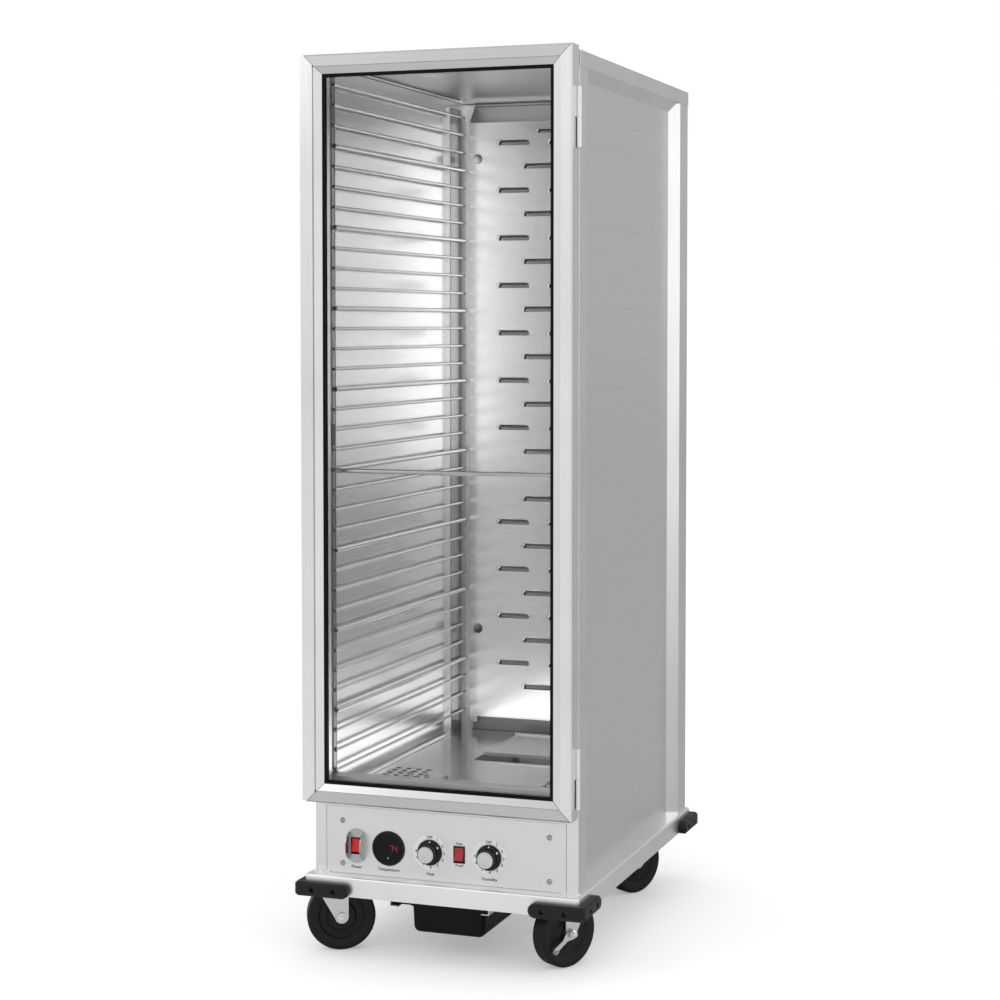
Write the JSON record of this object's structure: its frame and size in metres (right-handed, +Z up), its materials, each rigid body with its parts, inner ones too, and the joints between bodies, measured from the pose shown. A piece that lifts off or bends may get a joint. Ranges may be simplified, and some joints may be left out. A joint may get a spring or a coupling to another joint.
{
  "type": "food holding cabinet",
  "caption": "Tall mobile heated holding and proofing cabinet with a full-height clear door, wire pan racks, a low control panel, corner bumpers, a drip pan and swivel casters.",
  "frame": {"origin": "on the floor, under the centre of the overall box", "axes": "+Z up, -Y out of the door, +X to the right of someone facing the door"},
  "size_m": [0.5778, 0.8256, 1.6971],
  "materials": {
    "cabinet_aluminium": "brushed",
    "panel_aluminium": "ribbed and brushed along its length",
    "door_aluminium": "satin anodised",
    "stainless": "brushed",
    "rack_wire": "bright plated",
    "zinc": "zinc plated",
    "black_rubber": "moulded",
    "seal_rubber": "extruded",
    "black_plastic": "moulded",
    "pan_plastic": "moulded",
    "display_plastic": "gloss",
    "red_plastic": "translucent, lit",
    "dial_white": "printed",
    "polished": "spun",
    "guard_steel": "polished",
    "black_oxide": "blackened",
    "clear_pane": "clear"
  },
  "bodies": {
    "cabinet": {"base_chassis": "cabinet_aluminium", "caster_plates": "zinc", "corner_bumpers": "black_rubber", "bumper_screws": "black_oxide", "front_posts": "cabinet_aluminium", "rear_posts": "cabinet_aluminium", "top_cap": "cabinet_aluminium", "top_rails": "cabinet_aluminium", "side_panel_left": "panel_aluminium", "side_panel_right": "panel_aluminium", "back_panel": "cabinet_aluminium", "front_sill": "cabinet_aluminium", "cabinet_floor": "cabinet_aluminium", "duct_panel": "cabinet_aluminium", "rack_uprights": "rack_wire", "rack_rungs": "rack_wire", "rack_tie_rod": "rack_wire", "control_panel": "cabinet_aluminium", "panel_screws": "stainless", "switch_guard": "guard_steel", "switch_housings": "black_plastic", "display_bezel": "black_plastic", "display_lens": "display_plastic", "dial_plates": "dial_white", "thermostats": "black_plastic", "module_tray": "stainless", "heater_element": "stainless", "blower_motor": "zinc", "water_pan": "stainless", "power_inlet": "black_plastic", "drip_pan_rails": "zinc", "cabinet_hinge_leaves": "stainless", "latch_magnet": "black_plastic"},
    "door": {"door_stile_left": "door_aluminium", "door_stile_right": "door_aluminium", "door_rails": "door_aluminium", "door_glazing_seal": "seal_rubber", "door_window": "clear_pane", "door_gasket": "seal_rubber", "door_hinge_leaves": "stainless", "latch_strike": "zinc"},
    "power_rocker": {"power_rocker": "red_plastic"},
    "mode_rocker": {"mode_rocker": "red_plastic"},
    "heat_knob": {"heat_knob": "black_plastic", "heat_knob_cap": "polished"},
    "humidity_knob": {"humidity_knob": "black_plastic", "humidity_knob_cap": "polished"},
    "drip_pan": {"drip_pan": "pan_plastic"},
    "water_pan_lid": {"water_pan_lid": "stainless"},
    "blower_impeller": {"blower_impeller": "zinc"},
    "caster_front_left": {"caster_fork_front_left": "zinc"},
    "wheel_front_left": {"caster_wheel_front_left": "black_rubber"},
    "brake_front_left": {"brake_lever_front_left": "zinc"},
    "caster_front_right": {"caster_fork_front_right": "zinc"},
    "wheel_front_right": {"caster_wheel_front_right": "black_rubber"},
    "brake_front_right": {"brake_lever_front_right": "zinc"},
    "caster_rear_left": {"caster_fork_rear_left": "zinc"},
    "wheel_rear_left": {"caster_wheel_rear_left": "black_rubber"},
    "caster_rear_right": {"caster_fork_rear_right": "zinc"},
    "wheel_rear_right": {"caster_wheel_rear_right": "black_rubber"}
  },
  "joints": [
    {"name": "door_swing", "type": "hinge", "parent": "cabinet", "child": "door", "pos_m": [0.2678, -0.384, 0.968], "axis": [0, 0, 1], "range_deg": [0, 180]},
    {"name": "power_rocker_press", "type": "hinge", "parent": "cabinet", "child": "power_rocker", "pos_m": [-0.178, -0.36275, 0.2087], "axis": [1, 0, 0], "range_deg": [0, 16]},
    {"name": "mode_rocker_press", "type": "hinge", "parent": "cabinet", "child": "mode_rocker", "pos_m": [0.03, -0.36275, 0.2087], "axis": [1, 0, 0], "range_deg": [0, 16]},
    {"name": "heat_knob_turn", "type": "hinge", "parent": "cabinet", "child": "heat_knob", "pos_m": [-0.028, -0.38, 0.2087], "axis": [0, 1, 0], "range_deg": [0, 290]},
    {"name": "humidity_knob_turn", "type": "hinge", "parent": "cabinet", "child": "humidity_knob", "pos_m": [0.09, -0.38, 0.2087], "axis": [0, 1, 0], "range_deg": [0, 290]},
    {"name": "drip_pan_slide", "type": "slide", "parent": "cabinet", "child": "drip_pan", "axis": [0, -1, 0], "range_m": [0, 0.29]},
    {"name": "water_pan_lid_lift", "type": "hinge", "parent": "cabinet", "child": "water_pan_lid", "pos_m": [0, 0.321, 0.304], "axis": [-1, 0, 0], "range_deg": [0, 80]},
    {"name": "blower_spin", "type": "hinge", "parent": "cabinet", "child": "blower_impeller", "pos_m": [0, 0.3, 0.203], "axis": [0, 1, 0], "continuous": true},
    {"name": "swivel_front_left", "type": "hinge", "parent": "cabinet", "child": "caster_front_left", "pos_m": [-0.201, -0.325, 0.14], "axis": [0, 0, 1], "continuous": true},
    {"name": "roll_front_left", "type": "hinge", "parent": "caster_front_left", "child": "wheel_front_left", "pos_m": [-0.22396, -0.33721, 0.0655], "axis": [0.4695, -0.8829, 0], "continuous": true},
    {"name": "brake_front_left", "type": "hinge", "parent": "caster_front_left", "child": "brake_front_left", "pos_m": [-0.22396, -0.33721, 0.0655], "axis": [0.4695, -0.8829, 0], "range_deg": [0, 25]},
    {"name": "swivel_front_right", "type": "hinge", "parent": "cabinet", "child": "caster_front_right", "pos_m": [0.201, -0.325, 0.14], "axis": [0, 0, 1], "continuous": true},
    {"name": "roll_front_right", "type": "hinge", "parent": "caster_front_right", "child": "wheel_front_right", "pos_m": [0.214, -0.30248, 0.0655], "axis": [-0.866, 0.5, 0], "continuous": true},
    {"name": "brake_front_right", "type": "hinge", "parent": "caster_front_right", "child": "brake_front_right", "pos_m": [0.214, -0.30248, 0.0655], "axis": [-0.866, 0.5, 0], "range_deg": [0, 25]},
    {"name": "swivel_rear_left", "type": "hinge", "parent": "cabinet", "child": "caster_rear_left", "pos_m": [-0.201, 0.268, 0.14], "axis": [0, 0, 1], "continuous": true},
    {"name": "roll_rear_left", "type": "hinge", "parent": "caster_rear_left", "child": "wheel_rear_left", "pos_m": [-0.20989, 0.24357, 0.0655], "axis": [0.9397, -0.342, 0], "continuous": true},
    {"name": "swivel_rear_right", "type": "hinge", "parent": "cabinet", "child": "caster_rear_right", "pos_m": [0.201, 0.268, 0.14], "axis": [0, 0, 1], "continuous": true},
    {"name": "roll_rear_right", "type": "hinge", "parent": "caster_rear_right", "child": "wheel_rear_right", "pos_m": [0.18761, 0.24571, 0.0655], "axis": [0.8572, -0.515, 0], "continuous": true}
  ]
}
